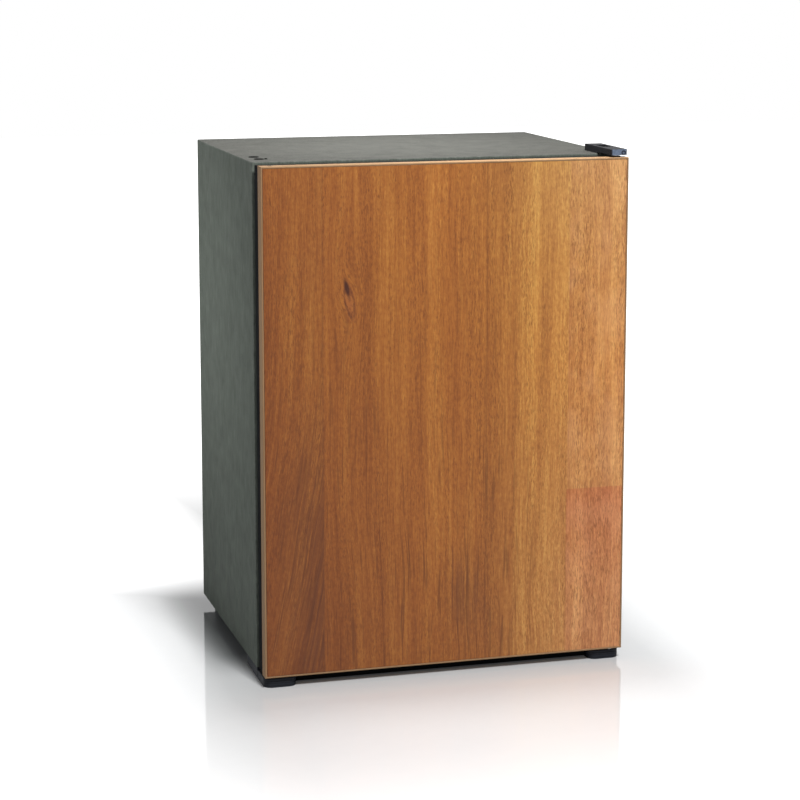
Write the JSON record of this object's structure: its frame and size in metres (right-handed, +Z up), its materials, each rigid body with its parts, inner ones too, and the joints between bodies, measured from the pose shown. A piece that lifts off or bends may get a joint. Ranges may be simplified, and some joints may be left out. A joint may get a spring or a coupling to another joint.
{
  "type": "minibar fridge",
  "caption": "Free-standing absorption minibar fridge with a right-hinged wooden decor door, wire shelves, door racks, a turning thermostat knob and its cooling unit at the back.",
  "frame": {"origin": "on the floor, in the middle of the outer box, half way between the door's front and the cooling unit's back", "axes": "+X to the right seen from the front, +Y from the door to the back, +Z up"},
  "size_m": [0.402, 0.435, 0.5634],
  "materials": {
    "cabinet_paint": "embossed dark grey coating",
    "galvanised": "dull zinc",
    "foam": "rigid foam, cream",
    "plug_foam": "moulded bead foam",
    "white_plastic": "white moulded plastic",
    "rack_plastic": "milky clear plastic",
    "black_plastic": "fine grained black plastic",
    "hinge_plastic": "charcoal plastic",
    "foot_rubber": "hard black rubber",
    "gasket_rubber": "soft black seal",
    "magnet": "brown black magnet strip",
    "decor_wood": "oiled veneer, upright grain",
    "edge_profile": "light brown edge",
    "zinc_screw": "zinc plated",
    "pin_steel": "turned steel",
    "bush_plastic": "bearing plastic in the edge's brown",
    "wire_coating": "white coated wire",
    "bare_aluminium": "satin",
    "unit_black": "black stoved paint",
    "jacket_zinc": "rolled zinc sheet",
    "clear_tube": "grey soft plastic",
    "grey_plastic": "grey moulded plastic",
    "lens": "frosted",
    "board_green": "green board",
    "heater_steel": "heat stained steel",
    "lead_sleeve": "red brown glass sleeve",
    "bracket_zinc": "zinc plated sheet"
  },
  "bodies": {
    "cabinet": {"cabinet_wrap": "cabinet_paint", "back_panel": "galvanised", "base_pan": "galvanised", "insulation_foam": "foam", "inner_liner": "white_plastic", "base_front_rail": "black_plastic", "front_foot_left": "foot_rubber", "front_foot_right": "foot_rubber", "rear_feet": "foot_rubber", "top_hinge_bracket": "bracket_zinc", "top_hinge_pin": "pin_steel", "top_hinge_cover": "hinge_plastic", "hinge_screws": "zinc_screw", "bottom_hinge_pin": "pin_steel", "hinge_blanking_plugs": "black_plastic", "shelf_upper": "wire_coating", "shelf_lower": "wire_coating", "evaporator_fins": "bare_aluminium", "drip_tray": "white_plastic", "thermostat_housing": "white_plastic", "thermostat_regulator": "grey_plastic", "light_lens": "lens", "light_board": "board_green", "evaporator_plug": "plug_foam", "evaporator_tube": "unit_black", "boiler_tube": "unit_black", "condenser_tube": "unit_black", "condenser_fins": "unit_black", "gas_heat_exchanger": "unit_black", "absorber_coil": "unit_black", "absorber_vessel": "unit_black", "liquid_heat_exchanger": "unit_black", "boiler_jacket": "jacket_zinc", "heating_cartridge": "heater_steel", "heater_lead": "lead_sleeve", "unit_brackets": "bracket_zinc", "unit_screws": "zinc_screw", "drain_tube": "clear_tube", "evaporation_dish": "grey_plastic", "terminal_box": "black_plastic", "terminal_block": "white_plastic", "terminal_box_cover": "black_plastic", "cable_gland": "black_plastic"},
    "door": {"wood_panel": "decor_wood", "door_frame": "edge_profile", "door_shell": "black_plastic", "door_foam": "foam", "door_liner": "white_plastic", "door_gasket": "gasket_rubber", "gasket_magnet": "magnet", "door_rack_upper": "rack_plastic", "door_rack_lower": "rack_plastic", "hinge_bush_top": "bush_plastic", "hinge_bush_bottom": "bush_plastic", "spare_bushes": "bush_plastic"},
    "thermostat_knob": {"thermostat_knob": "grey_plastic"}
  },
  "joints": [
    {"name": "door_hinge", "type": "hinge", "parent": "cabinet", "child": "door", "pos_m": [0.1895, -0.2079, 0], "axis": [0, 0, 1], "range_deg": [0, 120]},
    {"name": "thermostat_turn", "type": "hinge", "parent": "cabinet", "child": "thermostat_knob", "pos_m": [0.1015, -0.1135, 0.5055], "axis": [0, 1, 0], "range_deg": [0, 270]}
  ]
}
